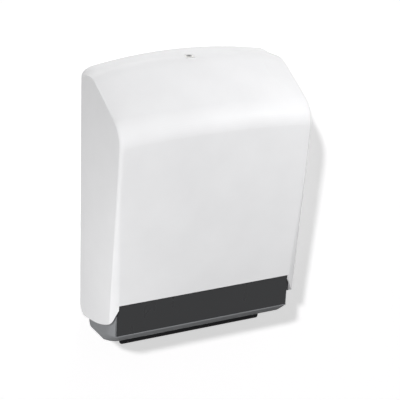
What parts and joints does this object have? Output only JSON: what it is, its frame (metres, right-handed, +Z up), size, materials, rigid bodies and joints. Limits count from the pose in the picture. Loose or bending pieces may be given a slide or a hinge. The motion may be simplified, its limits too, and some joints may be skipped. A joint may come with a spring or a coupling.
{
  "type": "folded paper towel dispenser",
  "caption": "Wall-mounted folded towel dispenser: white cover hinged at its foot over a grey base, with a dark front panel, an outlet rim and a key lock in the roof.",
  "frame": {"origin": "centre of the four wall-screw holes, on the wall plate's back face", "axes": "+Z up, +Y into the wall, +X to the right as seen from the room"},
  "size_m": [0.29, 0.1296, 0.4019],
  "materials": {
    "white_cover": "smooth moulded gloss",
    "grey_base": "fine moulded grain",
    "anthracite": "satin moulded",
    "inner_grey": "fine moulded grain",
    "towel_guide": "satin moulded",
    "bush": "natural acetal",
    "pad_rubber": "matt",
    "plated_steel": "zinc plated",
    "lock_metal": "nickel plated"
  },
  "bodies": {
    "chassis": {"wall_plate": "inner_grey", "base_tub": "grey_base", "base_screws": "plated_steel", "apron_panel": "anthracite", "apron_push_nuts": "plated_steel", "outlet_rim": "anthracite", "rim_screws": "plated_steel", "hinge_pin_right": "plated_steel", "hinge_pin_left": "plated_steel", "pin_retainers": "plated_steel", "towel_guide_right": "towel_guide", "towel_guide_left": "towel_guide", "guide_screws": "plated_steel", "latch_strike": "plated_steel", "strike_screws": "plated_steel", "cover_pads": "pad_rubber"},
    "cover": {"cover_shell": "white_cover", "hinge_bush_right": "bush", "hinge_bush_left": "bush", "lock_barrel": "lock_metal", "lock_nut": "plated_steel"},
    "lock": {"lock_plug": "lock_metal", "lock_cam": "plated_steel", "lock_washer": "plated_steel", "lock_cam_screw": "plated_steel"}
  },
  "joints": [
    {"name": "cover_hinge", "type": "hinge", "parent": "chassis", "child": "cover", "pos_m": [0, -0.017, -0.187], "axis": [1, 0, 0], "range_deg": [0, 90]},
    {"name": "lock_turn", "type": "hinge", "parent": "cover", "child": "lock", "pos_m": [0, -0.033, 0.15], "axis": [0, 0, -1], "range_deg": [0, 90]}
  ]
}
